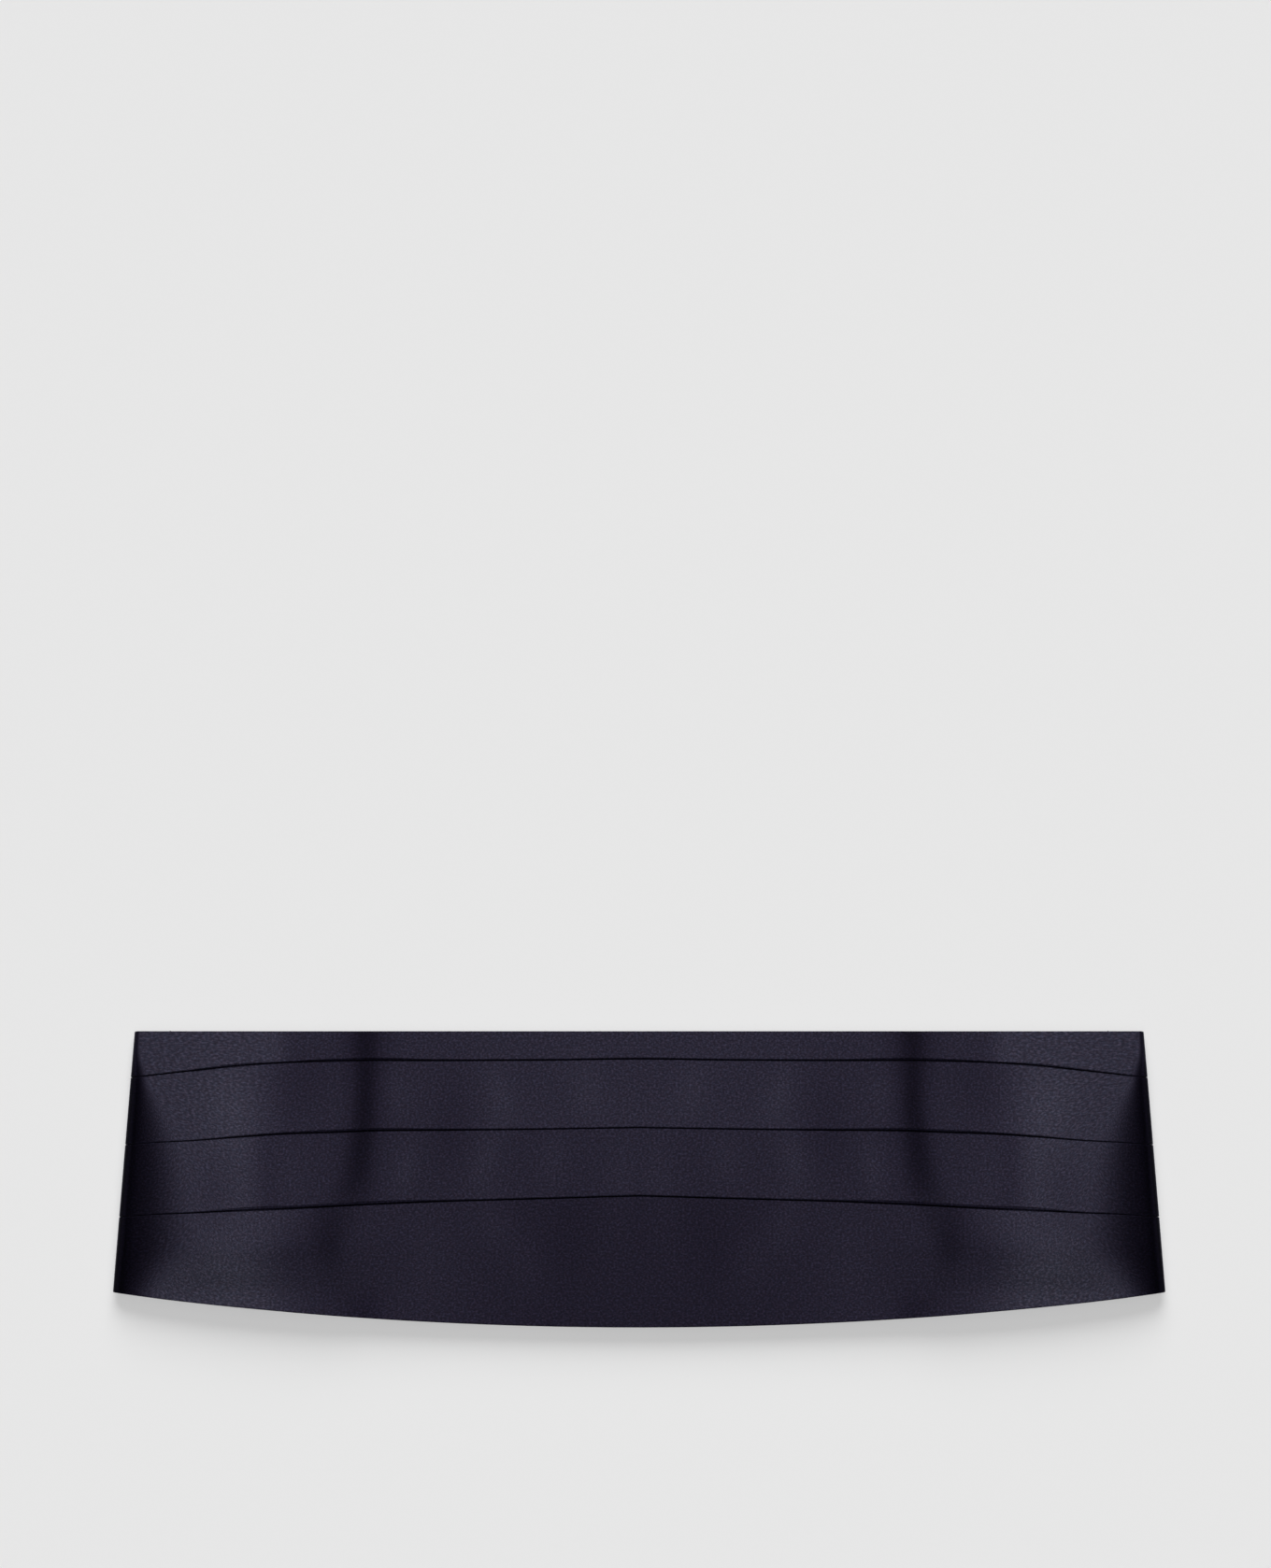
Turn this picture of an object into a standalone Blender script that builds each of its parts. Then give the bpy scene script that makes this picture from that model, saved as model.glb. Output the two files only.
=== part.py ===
"""A pleated satin cummerbund, fastened at the back and laid flat on a surface.

The pleated front lies on top. Its ends roll over and under, where they are seamed to two back bands,
and elastic straps join the bands through a hook and eye below the middle of the front.

Metres, +Z up. +X runs along the band, +Y towards the top edge, and the underside rests on Z = 0.
The origin is on that surface, below the middle of the front.
"""

import math

import bpy

for old in list(bpy.data.objects):
    bpy.data.objects.remove(old)

MM = 0.001

# Outline of the front as it lies
TOP_HALF = 215.8 * MM  # middle to a top corner
HEM_HALF = 225.1 * MM  # middle to a bottom corner
END_DEPTH = 111.7 * MM  # top edge to hem, along an end
MIDDLE_DEPTH = 126.7 * MM  # top edge to hem, at the middle
TOP_Y = MIDDLE_DEPTH / 2  # the top edge is straight

# Cloth and pleats of the front
CLOTH = 1.0 * MM  # wall of the folded cloth
AIR = 0.3 * MM  # between folded layers, and between pieces
UNDERLAP = 14.0 * MM  # how far the cloth runs under each pleat
DIP = 4.0 * MM  # the band above sinks under a pleat over this much of its height
STEEP_SHARE = 0.6  # after this share of that height
STEEP_SUNK = 0.7  # it has come down by this share of its drop
PLEATS_AT_MIDDLE = (11.8 * MM, 41.2 * MM, 70.4 * MM)  # below the top edge

# How much lower each pleat line lies away from the middle, in mm
PLEAT_DROPS = (
    # distance, top, middle, lowest
    (0, 0.0, 0.0, 0.0),
    (49, 0.5, 0.7, 1.3),
    (97, 0.7, 1.1, 2.9),
    (121, 0.7, 1.5, 3.7),
    (145, 1.2, 2.3, 5.0),
    (169, 2.6, 3.7, 6.0),
    (193, 5.1, 5.5, 7.2),
    (220, 7.6, 7.4, 8.6),
)

# Form of the front between its shoulders, where it rests on the clasp and rises towards both ends
MIDDLE_HEIGHT = 9.0 * MM
CROWN = 2.2 * MM  # at the middle, the top edge and the hem lie this much lower than the line between them
CROWN_DEPTH = 58.0 * MM  # where that line runs, below the top edge
RISE_START = 60.0 * MM  # distance from the middle where the front starts to rise
SHOULDER_DISTANCE = 160.0 * MM  # and where it starts to slope down to its ends

# A crease runs across each half of the front as a soft step, and lies further out in the lowest band
CREASE_RISE = 1.3 * MM
CREASES = (
    # distance, half_width
    (117, 6),
    (135, 10),
)
CREASE_SHIFTS = (76.0 * MM, 90.0 * MM)  # it moves out between these depths

# Ends of the front: the roll, and the shoulder that leads into it
ENDS = (
    # depth, roll_radius, shoulder_width
    (0, 3.4, 6),
    (15, 4.3, 8),
    (30, 4.4, 14),
    (45, 4.5, 20),
    (60, 4.6, 25),
    (75, 4.8, 29),
    (90, 5.0, 31),
    (101, 5.0, 26),
    (112, 5.0, 20),
    (127, 5.0, 16),
)
END_SLOPE = math.radians(3)  # where the shoulder begins
ROLL_SLOPE = math.radians(14)  # where the roll begins
SEAM_INSET = 15.0 * MM  # the side seam lies this far in, below

# Back bands
BAND_WALL = 1.4 * MM  # two cloths
BAND_TAPER = 1.6  # how much of the taper lies near the side seam; 1 is even
BAND_END = 60.0 * MM  # distance of the strap end from the middle
BAND_END_DEPTH = 36.0 * MM
BAND_END_Y = -3.5 * MM  # middle line of the band at the strap

# Straps, with their own middle line on the bands'
STRAP_WALL = 1.0 * MM
STRAP_WIDTH = 30.0 * MM
STRAP_RETURN = 36.0 * MM  # the looped end reaches back this far from the middle
LOOP_ROOM = 0.5 * MM  # between a strap's loop and the bar in it
LOOP_FLAT = 4.0 * MM  # the loop stays level this far past its bar's near side
LOOP_SLOPE = 6.0 * MM  # and comes down onto the strap over this length

# Clasp, two flat frames; the hook's tongue holds the eye's inner bar
METAL = 1.6 * MM
METAL_BASE = 1.7 * MM  # underside of both frames
BAR = 2.5 * MM
OUTER_BAR = 13.0 * MM  # near side of each strap bar, from the middle
EYE_INNER_BAR = 0.0 * MM
HOOK_INNER_BAR = 2.5 * MM
FRAME_SIDE = 15.7 * MM  # half the opening for the strap
TONGUE_WALL = 1.2 * MM
TONGUE_WIDTH = 14.0 * MM
TONGUE_CORNER = 0.5 * MM  # its bends are cut across by this much
TONGUE_TIP = 0.3 * MM  # the tip ends here, below the eye's bar

# Stations along one half of the front, in mm from the middle, and steps over its end
STATIONS = (0, 40, 75, 98, 111, 117, 123, 129, 135, 141, 149)
SLOPE_STEPS = 2
SHOULDER_STEPS = 3
ROLL_STEPS = 6
TURN_STEPS = 3  # round each folded edge
LOWEST_BAND_STRIPS = 3


def smooth_row(rows, at):
    """A row of a table between its rows, on a smooth curve through them; the first column is the distance."""
    last = len(rows) - 1
    index = 0
    while index < last - 1 and at > rows[index + 1][0]:
        index += 1
    low, high = rows[index], rows[index + 1]
    before, after = rows[max(index - 1, 0)], rows[min(index + 2, last)]
    span = high[0] - low[0]
    part = min(max((at - low[0]) / span, 0.0), 1.0)
    values = []
    for column in range(1, len(low)):
        slope_low = (high[column] - before[column]) / (high[0] - before[0]) * span
        slope_high = (after[column] - low[column]) / (after[0] - low[0]) * span
        values.append(
            low[column] * (1 + 2 * part) * (1 - part) ** 2
            + slope_low * part * (1 - part) ** 2
            + high[column] * part * part * (3 - 2 * part)
            + slope_high * part * part * (part - 1)
        )
    return values


def ease(part):
    """0 to 1, with a level start and end."""
    part = min(max(part, 0.0), 1.0)
    return part * part * (3 - 2 * part)


def material(name, colour, roughness, metallic):
    made = bpy.data.materials.new(name)
    made.use_nodes = True
    shader = made.node_tree.nodes["Principled BSDF"]
    shader.inputs["Base Color"].default_value = (*colour, 1.0)
    shader.inputs["Roughness"].default_value = roughness
    shader.inputs["Metallic"].default_value = metallic
    return made


def mesh_object(name, points, faces, finish, collection):
    mesh = bpy.data.meshes.new(name)
    mesh.from_pydata(points, [], faces)
    mesh.materials.append(finish)
    made = bpy.data.objects.new(name, mesh)
    collection.objects.link(made)
    return made


def grid_faces(rows, columns, flipped=False):
    """Quads between the points of a grid, row after row."""
    faces = []
    for row in range(rows - 1):
        for column in range(columns - 1):
            corner = row * columns + column
            face = (corner, corner + 1, corner + columns + 1, corner + columns)
            faces.append(face[::-1] if flipped else face)
    return faces


def add_wall(made, wall, offset):
    """Gives an open surface its wall: offset 0 is half on each side, 1 is all on the outer side."""
    solidify = made.modifiers.new("Wall", "SOLIDIFY")
    solidify.thickness = wall
    solidify.offset = offset
    solidify.use_even_offset = True


# Pleated front

LAYER = CLOTH + AIR
FACE = CLOTH / 2  # depth of the middle of each layer under the outer face
RETURN = FACE + LAYER
UNDER = FACE + 2 * LAYER
SLANT = (HEM_HALF - TOP_HALF) / END_DEPTH


def end_x(depth):
    """How far the front reaches from the middle, this far below its top edge."""
    return TOP_HALF + SLANT * depth


def hem_depth(distance):
    """Depth of the hem, a shallow arc, at this distance from the middle."""
    return MIDDLE_DEPTH - (MIDDLE_DEPTH - END_DEPTH) * (distance / HEM_HALF) ** 2


def folded_edge(centre, start, end, side):
    """Points round a folded edge, from one layer to the next: (depth below the top edge, depth of the layer)."""
    radius = abs(end - start) / 2
    points = []
    for step in range(TURN_STEPS + 1):
        angle = math.pi * step / TURN_STEPS
        points.append(
            (
                centre + side * radius * math.sin(angle),
                (start + end) / 2 + (start - end) / 2 * math.cos(angle),
            )
        )
    return points


def pleated_section(lines, hem):
    """The cloth from the top edge to the hem, zigzagged under each pleat line."""
    points = [(0.0, FACE)]
    start = 0.0
    for line in lines:
        points.append(((start + line - DIP) / 2, FACE))
        points.append((line - DIP, FACE))
        points.append((line - (1 - STEEP_SHARE) * DIP, FACE + STEEP_SUNK * (UNDER - FACE)))
        points.append((line, UNDER))
        points += folded_edge(line + UNDERLAP - LAYER / 2, UNDER, RETURN, 1)
        points += folded_edge(line + CLOTH / 2 + LAYER / 2, RETURN, FACE, -1)
        start = line
    for step in range(1, LOWEST_BAND_STRIPS + 1):
        points.append((start + (hem - start) * step / LOWEST_BAND_STRIPS, FACE))
    return points


def end_profile(depth):
    """The outer face over an end, from its highest line to the side seam: (distance, height, slope)."""
    radius, shoulder = (value * MM for value in smooth_row(ENDS, depth / MM))
    reach = end_x(depth)
    start = radius * (1 - math.sin(ROLL_SLOPE))
    points = [(reach - SEAM_INSET, 0.0, math.pi)]
    for step in range(ROLL_STEPS + 1):
        slope = math.pi + (ROLL_SLOPE - math.pi) * step / ROLL_STEPS
        points.append((reach - radius * (1 - math.sin(slope)), radius * (1 + math.cos(slope)), slope))
    stretches = (
        # inset it starts from, inset it ends at, slope at both, steps
        (start, shoulder, ROLL_SLOPE, END_SLOPE, SHOULDER_STEPS),
        (shoulder, reach - SHOULDER_DISTANCE, END_SLOPE, 0.0, SLOPE_STEPS),
    )
    for near, far, low_slope, high_slope, steps in stretches:
        base = points[-1][1]
        for step in range(1, steps + 1):
            share = step / steps
            slope = low_slope + (high_slope - low_slope) * share
            height = base + (far - near) * share * (low_slope + slope) / 2
            points.append((reach - near - (far - near) * share, height, slope))
    return points[::-1]


def lying_height(distance, depth):
    """Height of the outer face between the two shoulders."""
    across = (depth - CROWN_DEPTH) / (MIDDLE_DEPTH / 2)
    middle = MIDDLE_HEIGHT - CROWN * across * across
    out = ease((depth - CREASE_SHIFTS[0]) / (CREASE_SHIFTS[1] - CREASE_SHIFTS[0]))
    steps = [ease((distance / MM - at) / (2 * half_width) + 0.5) for at, half_width in CREASES]
    crease = CREASE_RISE * (steps[0] * (1 - out) + steps[1] * out)
    end_height = end_profile(depth)[0][1]
    risen = ease((distance - RISE_START) / (SHOULDER_DISTANCE - RISE_START))
    return middle + crease + (end_height - middle - CREASE_RISE) * risen


def pleat_line(number, distance):
    """Depth of a pleat line below the top edge, at this distance from the middle."""
    return PLEATS_AT_MIDDLE[number] + smooth_row(PLEAT_DROPS, distance / MM)[number] * MM


def half_front():
    """Points of the cloth's middle surface from the middle of the front to the right side seam."""
    rows = [([distance * MM] * len(PLEATS_AT_MIDDLE), distance * MM, None) for distance in STATIONS]
    # Under the roll, the pleats and the hem keep the depth that they have at its outline.
    reached = [SHOULDER_DISTANCE] * len(PLEATS_AT_MIDDLE)
    hem_reached = SHOULDER_DISTANCE
    for index, hem_point in enumerate(end_profile(END_DEPTH)):
        profiles = [end_profile(pleat_line(number, distance)) for number, distance in enumerate(reached)]
        reached = [max(distance, profile[index][0]) for distance, profile in zip(reached, profiles)]
        hem_reached = max(hem_reached, hem_point[0])
        rows.append((reached, hem_reached, index))
    points = []
    for distances, hem_distance, index in rows:
        lines = [pleat_line(number, distance) for number, distance in enumerate(distances)]
        for depth, layer in pleated_section(lines, hem_depth(hem_distance)):
            if index is None:
                x, height, slope = hem_distance, lying_height(hem_distance, depth), 0.0
            else:
                x, height, slope = end_profile(depth)[index]
            points.append((x - layer * math.sin(slope), TOP_Y - depth, height - layer * math.cos(slope)))
    return points, len(rows)


def make_front(finish, collection):
    points, rows = half_front()
    columns = len(points) // rows
    front = mesh_object("front_panel", points, grid_faces(rows, columns, flipped=True), finish, collection)
    mirror = front.modifiers.new("Left half", "MIRROR")
    mirror.use_axis = (True, False, False)
    mirror.use_clip = True
    mirror.merge_threshold = 0.00005
    add_wall(front, CLOTH, 0.0)
    front.data.shade_smooth()


# Back bands

BAND_STEPS = 10
BAND_STRIPS = 4


def band_point(side, along, across):
    """A point of a back band: along runs from the strap to the side seam, across from its upper edge to its lower."""
    seam_depth = across * END_DEPTH
    seam_x = end_x(seam_depth) - SEAM_INSET - AIR
    seam_y = TOP_Y - seam_depth
    strap_y = BAND_END_Y + BAND_END_DEPTH * (0.5 - across)
    x = BAND_END + (seam_x - BAND_END) * along
    y = strap_y + (seam_y - strap_y) * along**BAND_TAPER
    return (side * x, y, 0.0)


def make_band(name, side, finish, collection):
    points = []
    for row in range(BAND_STEPS + 1):
        for column in range(BAND_STRIPS + 1):
            points.append(band_point(side, row / BAND_STEPS, column / BAND_STRIPS))
    faces = grid_faces(BAND_STEPS + 1, BAND_STRIPS + 1, flipped=side < 0)
    band = mesh_object(name, points, faces, finish, collection)
    add_wall(band, BAND_WALL, 1.0)


# Elastic straps

BAR_TOP = METAL_BASE + METAL
LOOP_STEPS = 6


def strap_path():
    """Middle line of a strap in X and Z: from the band's end, round its bar and back on itself."""
    low = STRAP_WALL / 2
    high = BAR_TOP + LOOP_ROOM + STRAP_WALL / 2
    radius = (high - low) / 2
    centre_x = OUTER_BAR - LOOP_ROOM - STRAP_WALL / 2 + radius
    path = [(BAND_END - AIR, low), (STRAP_RETURN, low), (centre_x + LOOP_FLAT, low)]
    for step in range(LOOP_STEPS + 1):
        angle = math.pi * step / LOOP_STEPS
        path.append((centre_x - radius * math.sin(angle), (low + high) / 2 - radius * math.cos(angle)))
    rest = STRAP_WALL * 1.5 + AIR
    path.append((centre_x + LOOP_FLAT, high))
    path.append((centre_x + LOOP_FLAT + LOOP_SLOPE, rest))
    path.append((STRAP_RETURN, rest))
    return path


def make_strap(name, side, finish, collection):
    path = strap_path()
    points = []
    for x, z in path:
        for edge in (0.5, -0.5):
            points.append((side * x, BAND_END_Y + edge * STRAP_WIDTH, z))
    strap = mesh_object(name, points, grid_faces(len(path), 2, flipped=side < 0), finish, collection)
    add_wall(strap, STRAP_WALL, 0.0)


# Clasp


def make_frame(name, near, far, finish, collection):
    """A flat frame with a bar at each end, as a filled outline with an opening."""
    curve = bpy.data.curves.new(name, "CURVE")
    curve.dimensions = "2D"
    curve.fill_mode = "BOTH"
    curve.extrude = METAL / 2
    outer = (min(near, far), max(near, far), FRAME_SIDE + BAR)
    inner = (outer[0] + BAR, outer[1] - BAR, FRAME_SIDE)
    for left, right, half in (outer, inner):
        loop = curve.splines.new("POLY")
        loop.points.add(3)
        corners = ((left, -half), (right, -half), (right, half), (left, half))
        for point, (x, y) in zip(loop.points, corners):
            point.co = (x, y, 0.0, 1.0)
        loop.use_cyclic_u = True
    guide = bpy.data.objects.new(name + "_outline", curve)
    collection.objects.link(guide)
    graph = bpy.context.evaluated_depsgraph_get()
    mesh = bpy.data.meshes.new_from_object(guide.evaluated_get(graph))
    bpy.data.objects.remove(guide)
    mesh.name = name
    mesh.materials.clear()
    mesh.materials.append(finish)
    frame = bpy.data.objects.new(name, mesh)
    frame.location = (0.0, BAND_END_Y, METAL_BASE + METAL / 2)
    collection.objects.link(frame)
    weld = frame.modifiers.new("Caps", "WELD")
    weld.merge_threshold = 0.00001
    return frame


def make_clasp(finish, collection, cutters):
    make_frame("clasp_eye", EYE_INNER_BAR, OUTER_BAR + BAR, finish, collection)
    hook = make_frame("clasp_hook", -HOOK_INNER_BAR, -OUTER_BAR - BAR, finish, collection)
    low = METAL_BASE - AIR - TONGUE_WALL / 2
    level = METAL_BASE + METAL / 2
    high = BAR_TOP + AIR + TONGUE_WALL / 2
    outer = EYE_INNER_BAR + BAR + AIR + TONGUE_WALL / 2
    path = (
        (-HOOK_INNER_BAR - BAR / 2, level),
        (-HOOK_INNER_BAR, level),
        (-TONGUE_WALL, high),
        (outer - TONGUE_CORNER, high),
        (outer, high - TONGUE_CORNER),
        (outer, low + TONGUE_CORNER),
        (outer - TONGUE_CORNER, low),
        (TONGUE_TIP, low),
    )
    points = []
    for x, z in path:
        for edge in (-0.5, 0.5):
            points.append((x, BAND_END_Y + edge * TONGUE_WIDTH, z))
    tongue = mesh_object("tongue", points, grid_faces(len(path), 2), finish, cutters)
    add_wall(tongue, TONGUE_WALL, 0.0)
    tongue.hide_render = True
    tongue.display_type = "WIRE"
    union = hook.modifiers.new("Tongue", "BOOLEAN")
    union.operation = "UNION"
    union.object = tongue


parts = bpy.data.collections.new("Cummerbund")
helpers = bpy.data.collections.new("Cutters")
bpy.context.scene.collection.children.link(parts)
bpy.context.scene.collection.children.link(helpers)

satin = material("Navy satin", (0.030, 0.027, 0.044), 0.38, 0.0)
elastic = material("Navy elastic webbing", (0.012, 0.012, 0.020), 0.75, 0.0)
metal = material("Dark metal", (0.10, 0.10, 0.11), 0.35, 1.0)

make_front(satin, parts)
for side, hand in ((-1, "left"), (1, "right")):
    make_band(f"back_band_{hand}", side, satin, parts)
    make_strap(f"strap_{hand}", side, elastic, parts)
make_clasp(metal, parts, helpers)
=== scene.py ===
import math

import bpy
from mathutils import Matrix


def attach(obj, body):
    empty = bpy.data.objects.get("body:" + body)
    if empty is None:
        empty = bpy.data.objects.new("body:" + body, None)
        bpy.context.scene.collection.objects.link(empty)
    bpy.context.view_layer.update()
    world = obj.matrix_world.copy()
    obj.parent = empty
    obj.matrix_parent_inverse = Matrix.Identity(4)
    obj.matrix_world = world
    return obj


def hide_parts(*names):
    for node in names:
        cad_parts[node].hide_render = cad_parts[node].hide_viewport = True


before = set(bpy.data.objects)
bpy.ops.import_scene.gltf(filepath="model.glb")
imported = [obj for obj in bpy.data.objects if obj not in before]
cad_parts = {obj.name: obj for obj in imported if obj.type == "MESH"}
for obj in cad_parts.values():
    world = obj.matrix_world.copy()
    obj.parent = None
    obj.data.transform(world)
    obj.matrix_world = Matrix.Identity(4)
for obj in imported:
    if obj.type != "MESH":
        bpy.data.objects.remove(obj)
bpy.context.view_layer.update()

# Pleated front: one cut of navy satin in three upward pleats, pressed and held
# by the side seams. Its top edge and hem are turned under, and it lies face up
# with both ends rolled over to the side seams below.

MM = 0.001

# Outline as it lies
TOP_HALF = 215.8 * MM
HEM_HALF = 225.1 * MM
END_DEPTH = 111.7 * MM
MIDDLE_DEPTH = 126.7 * MM
TOP_Y = MIDDLE_DEPTH / 2  # where the top edge lies

# Cloth and pleats
SATIN = 0.35 * MM  # thickness
LAYER = 0.43 * MM  # from the middle of one folded layer to the next
FACE = SATIN / 2  # depth of the layer that shows
RETURN = FACE + LAYER
UNDER = FACE + 2 * LAYER
UNDERLAP = 14.0 * MM
HOLD = 0.12 * MM  # from a fold to where the cloth lies flat again
LINE_TO_FOLD = 0.2 * MM  # from the dark line of a pleat down to its fold
TOP_TURN = 6.0 * MM
HEM_TURN = 12.0 * MM
PLEAT_LINES = (
    # distance, depth of the top, middle and lowest line below the top edge; in mm
    (0, 11.6, 40.95, 70.15),
    (12, 11.7, 41.15, 70.45),
    (30, 12.0, 41.45, 71.0),
    (55, 12.2, 41.8, 71.7),
    (85, 12.3, 42.05, 72.5),
    (110, 12.15, 42.15, 73.4),
    (130, 12.4, 42.8, 74.4),
    (150, 13.1, 43.5, 75.4),
    (170, 14.35, 44.8, 76.2),
    (190, 16.5, 46.4, 77.3),
    (207, 18.4, 47.3, 78.0),
    (225, 20.4, 48.8, 79.4),
)
DIPS = (
    # distance, height over which the band above sinks under the top, middle and lowest pleat; in mm
    (0, 0.9, 0.7, 0.8),
    (45, 0.8, 0.7, 0.8),
    (85, 0.9, 1.0, 1.0),
    (112, 1.6, 1.5, 1.8),
    (132, 1.4, 1.5, 1.5),
    (152, 0.8, 1.2, 1.7),
    (172, 1.4, 1.0, 1.8),
    (192, 0.8, 0.6, 1.0),
    (225, 0.42, 0.42, 0.45),
)
PLEATS = 3

# Form as it lies
MIDDLE_HEIGHT = 9.0 * MM
CROWN = 2.2 * MM  # drop over half the depth, from the highest line to the top edge
HEM_DROP = 0.7 * MM  # the same, towards the hem
CROWN_DEPTH = 58.0 * MM
RISE_START = 60.0 * MM
SHOULDER_DISTANCE = 160.0 * MM
CREASE_RISE = 1.3 * MM
CREASE = (
    # depth, distance, half_width; in mm
    (0, 117, 8),
    (25, 117, 7),
    (50, 119, 8),
    (64, 121.5, 10),
    (78, 129, 13),
    (92, 134, 10),
    (108, 130, 12),
    (127, 120, 12),
)
ENDS = (
    # depth, roll_radius, shoulder_width; in mm
    (0, 3.4, 2.4),
    (9, 3.8, 3.0),
    (16, 4.2, 5.5),
    (22, 4.3, 7.8),
    (30, 4.4, 13),
    (45, 4.5, 20.9),
    (60, 4.6, 26.8),
    (75, 4.75, 30.6),
    (90, 4.7, 32.5),
    (101, 4.5, 26.5),
    (112, 4.3, 19),
    (127, 4.05, 16),
)
PRESSED_ROLL = 0.4  # part of its width that the upper half of a roll keeps at the top edge
PRESSED_DEPTHS = (8 * MM, 22 * MM)  # between these it becomes round
UNDER_TUCK = 0.4 * MM  # the turned-under ends lie this much back from the top edge
TUCK_DEPTH = 20 * MM  # where that ends
END_SLOPE = math.radians(3)  # where a shoulder starts
ROLL_SLOPE = math.radians(14)  # where its roll starts
SEAM_INSET = 15.0 * MM  # from an end to the side seam under it
SLANT = (HEM_HALF - TOP_HALF) / END_DEPTH

# Soft creases across the bands, uneven in length, depth and spacing; all in mm
SOFT_CREASES = (
    # distance, depth, half_width, half_length, lean in degrees, lift
    (8, 64, 9, 30, 6, 0.18),
    (22, 26, 8, 14, -8, 0.25),
    (30, 92, 10, 22, 5, -0.12),
    (37, 55, 7, 12, 4, 0.22),
    (48, 100, 9, 16, -6, 0.23),
    (60, 28, 7, 13, -14, 0.32),
    (66, 56, 7, 13, 8, 0.36),
    (62, 84, 8, 12, -5, 0.32),
    (80, 40, 9, 20, 4, -0.22),
    (88, 98, 10, 18, 9, 0.11),
    (99, 60, 6, 11, 7, 0.32),
    (104, 26, 7, 10, -6, 0.22),
    (142, 22, 10, 16, 5, -0.18),
    (150, 62, 9, 20, -4, 0.18),
    (148, 96, 9, 16, 8, -0.22),
    (176, 34, 12, 18, -7, 0.25),
    (184, 70, 10, 16, 6, -0.18),
    (178, 100, 12, 14, -5, 0.22),
)

# Painted light, a factor on the satin's colour: painted sheen of the four bands, from the top one to the
# lowest; distances in mm
PAINTED_SHEEN_OF_BANDS = (
    # at_middle, past_crease, lit_from, lit_to
    (0.66, 0.60, 147, 158),
    (0.63, 0.56, 148, 172),
    (0.52, 0.53, 157, 171),
    (0.375, 0.51, 132, 172),
)
PAINTED_SHEEN_CHANGE = (40, 100)  # painted sheen goes from at_middle to past_crease
PAINTED_HIGHLIGHT = 0.95
PAINTED_HEM_HIGHLIGHT = 0.2  # more painted highlight, close to the hem
PAINTED_HEM_HIGHLIGHT_DEPTHS = (90, 106)
PAINTED_SHEEN_ON_RISE = 0.85  # more painted sheen for each mm that a soft crease lifts
PAINTED_ROLL_SHADE = 0.45  # painted shade round the steep side of a roll and under it
CREASE_SHADE = (
    # depth, distance, half_width, loss of painted shade in the crease, down the upper three bands
    (0, 117, 10, 0.62),
    (12, 117, 9, 0.57),
    (30, 116.5, 8, 0.53),
    (45, 118, 8.5, 0.46),
    (58, 120, 8, 0.42),
    (70, 120.5, 9, 0.24),
    (78, 121, 9, 0.15),
)
LOWEST_SHADE = (134, 9, 0.22)  # distance, half_width, loss of painted shade in the lowest band
LOWEST_SHADE_DEPTHS = (90, 104)  # it fades between these
HEM_SHADE = (117, 8, 0.30)  # painted shade at the hem
HEM_SHADE_DEPTHS = (104, 118)  # it grows between these
EDGE_PAINTED_SHADE = 0.7  # painted shade along the ends, under the top band
EDGE_INSETS = (1.8, 7.8)
EDGE_DEPTHS = (12, 22)
END_PAINTED_SHADE = 0.69  # painted shade over the shoulders
HEM_END_PAINTED_SHADE = 0.11  # more painted shade, close to the hem
HEM_END_DEPTHS = (85, 105)
SHOULDER_PARTS = (0.15, 1.15)  # of a shoulder's width, between which it fades
ROLL_DEGREES = (60, 90)  # slopes between which a roll takes its own painted shade

# Steps of the mesh
FLAT_STEP = 1.6 * MM
SLOPE_STEPS = 18
SHOULDER_STEPS = 12
ROLL_STEPS = 16
UNDERSIDE_STEPS = 6
TURN_STEPS = 5
DIP_STEPS = 7
LAP_STEPS = 2
TOP_BAND_STEPS = 6
BAND_STEPS = 11
LOWEST_BAND_STEPS = 16


def smooth_row(rows, at):
    """Values of a table at this place, on a smooth curve through its rows. Each row starts with its place."""
    last = len(rows) - 1
    index = 0
    while index < last - 1 and at > rows[index + 1][0]:
        index += 1
    low, high = rows[index], rows[index + 1]
    before, after = rows[max(index - 1, 0)], rows[min(index + 2, last)]
    span = high[0] - low[0]
    part = min(max((at - low[0]) / span, 0.0), 1.0)
    values = []
    for column in range(1, len(low)):
        slope_low = (high[column] - before[column]) / (high[0] - before[0]) * span
        slope_high = (after[column] - low[column]) / (after[0] - low[0]) * span
        values.append(
            low[column] * (1 + 2 * part) * (1 - part) ** 2
            + slope_low * part * (1 - part) ** 2
            + high[column] * part * part * (3 - 2 * part)
            + slope_high * part * part * (part - 1)
        )
    return values


def ease(part):
    """0 to 1, with a level start and end."""
    part = min(max(part, 0.0), 1.0)
    return part * part * (3 - 2 * part)


def rise(value, start, end):
    """0 up to the start, 1 from the end on, and smooth between them."""
    return ease((value - start) / (end - start))


def end_x(depth):
    """How far the front reaches from the middle, this far below its top edge."""
    return TOP_HALF + SLANT * depth


def hem_depth(distance):
    """Depth of the hem, a shallow arc, at this distance from the middle."""
    return MIDDLE_DEPTH - (MIDDLE_DEPTH - END_DEPTH) * (distance / HEM_HALF) ** 2


def strip(start, end, steps, layer):
    """Points of one flat layer between two folds: (depth below the top edge, depth of the layer)."""
    near = start + math.copysign(HOLD, end - start)
    far = end - math.copysign(HOLD, end - start)
    flat = [(near + (far - near) * step / steps, layer) for step in range(steps + 1)]
    return flat + [(end, layer)]


def folded_edge(centre, start, end, side):
    """Points round a folded edge, from one layer to the next."""
    radius = abs(end - start) / 2
    points = []
    for step in range(TURN_STEPS + 1):
        angle = math.pi * step / TURN_STEPS
        depth = centre + side * radius * math.sin(angle)
        points.append((depth, (start + end) / 2 + (start - end) / 2 * math.cos(angle)))
    return points


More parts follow.
